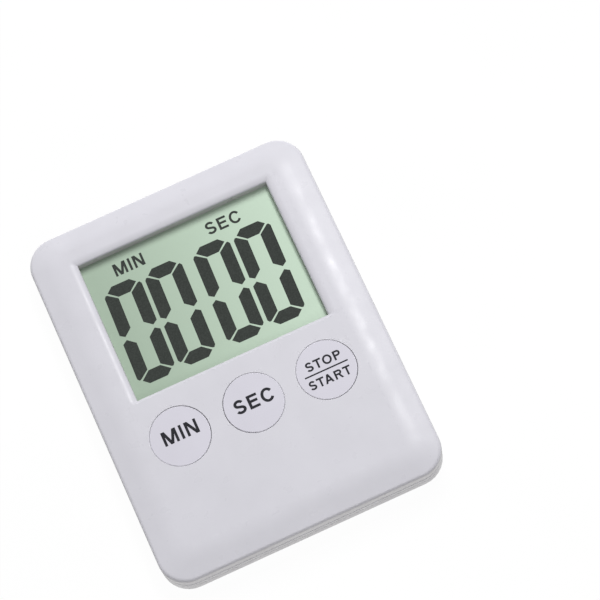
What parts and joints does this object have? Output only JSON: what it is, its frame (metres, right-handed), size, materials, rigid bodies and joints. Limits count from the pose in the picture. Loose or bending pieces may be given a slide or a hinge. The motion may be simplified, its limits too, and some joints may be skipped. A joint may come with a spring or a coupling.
{
  "type": "digital timer",
  "caption": "Slim pocket countdown timer with a large segment display, round push buttons, a fold-out stand and magnets on its back.",
  "frame": {"origin": "middle of the flat back, where the timer lies on a table", "axes": "+Z out of the display, +Y towards the top of the display, +X to the reader's right"},
  "size_m": [0.068, 0.0874, 0.009],
  "materials": {
    "case_white": "smooth satin moulded ABS, cool white",
    "button_white": "smooth satin moulded ABS, cool white, with dark printed function words",
    "lcd_film": "anti-glare film, pale green-grey, with dark segments behind it",
    "lcd_glass": "clear thin glass",
    "lcd_mirror": "pale silvered reflector film",
    "inner_white": "plain moulded inner frame",
    "contact_rubber": "striped conducting rubber",
    "silicone": "translucent grey silicone",
    "carbon_rubber": "black carbon-filled rubber",
    "board_laminate": "green solder mask over glass-fibre laminate",
    "contact_gold": "gold-flashed copper",
    "black_epoxy": "poured black epoxy",
    "crystal_can": "drawn metal can",
    "resistor_black": "black glazed chip parts with tinned ends",
    "capacitor_tan": "tan ceramic chip parts with tinned ends",
    "coil_ferrite": "dark ferrite drum",
    "buzzer_brass": "thin rolled brass",
    "buzzer_white": "silvered piezo ceramic",
    "wire_insulation": "red and black insulation",
    "cell_steel": "nickel-plated can",
    "contact_steel": "nickel-plated spring steel",
    "magnet_nickel": "nickel-plated magnet, lightly scuffed",
    "screw_steel": "zinc-plated screws"
  },
  "bodies": {
    "case": {"front_shell": "case_white", "back_shell": "case_white", "lcd_polariser": "lcd_film", "lcd_front_glass": "lcd_glass", "lcd_rear_glass": "lcd_glass", "lcd_reflector": "lcd_mirror", "lcd_holder": "inner_white", "zebra_strip": "contact_rubber", "keypad_sheet": "silicone", "min_dome": "silicone", "sec_dome": "silicone", "start_stop_dome": "silicone", "circuit_board": "board_laminate", "key_contacts": "contact_gold", "chip_blob": "black_epoxy", "buzzer_transistor": "black_epoxy", "timing_crystal": "crystal_can", "resistors": "resistor_black", "capacitors": "capacitor_tan", "buzzer_coil": "coil_ferrite", "buzzer_plate": "buzzer_brass", "buzzer_ceramic": "buzzer_white", "buzzer_wires": "wire_insulation", "battery_cell": "cell_steel", "battery_negative_contact": "contact_steel", "battery_positive_contact": "contact_steel", "magnets": "magnet_nickel", "board_screws": "screw_steel", "case_screws": "screw_steel"},
    "min_key": {"min_button": "button_white", "min_pill": "carbon_rubber"},
    "sec_key": {"sec_button": "button_white", "sec_pill": "carbon_rubber"},
    "start_stop_key": {"start_stop_button": "button_white", "start_stop_pill": "carbon_rubber"},
    "cell_door": {"battery_door": "case_white"},
    "prop": {"stand": "case_white"}
  },
  "joints": [
    {"name": "min_key_press", "type": "slide", "parent": "case", "child": "min_key", "axis": [0, 0, -1], "range_m": [0, 0.0005], "stiffness_N_per_m": 2000, "springref_m": -0.0002, "deforming": ["min_dome"]},
    {"name": "sec_key_press", "type": "slide", "parent": "case", "child": "sec_key", "axis": [0, 0, -1], "range_m": [0, 0.0005], "stiffness_N_per_m": 2000, "springref_m": -0.0002, "deforming": ["sec_dome"]},
    {"name": "start_stop_key_press", "type": "slide", "parent": "case", "child": "start_stop_key", "axis": [0, 0, -1], "range_m": [0, 0.0005], "stiffness_N_per_m": 2000, "springref_m": -0.0002, "deforming": ["start_stop_dome"]},
    {"name": "door_turn", "type": "hinge", "parent": "case", "child": "cell_door", "pos_m": [0, -0.0317, 0.0011], "axis": [0, 0, -1], "range_deg": [0, 45]},
    {"name": "stand_swing", "type": "hinge", "parent": "case", "child": "prop", "pos_m": [0, -0.0132, 0.00105], "axis": [-1, 0, 0], "range_deg": [0, 110]}
  ]
}
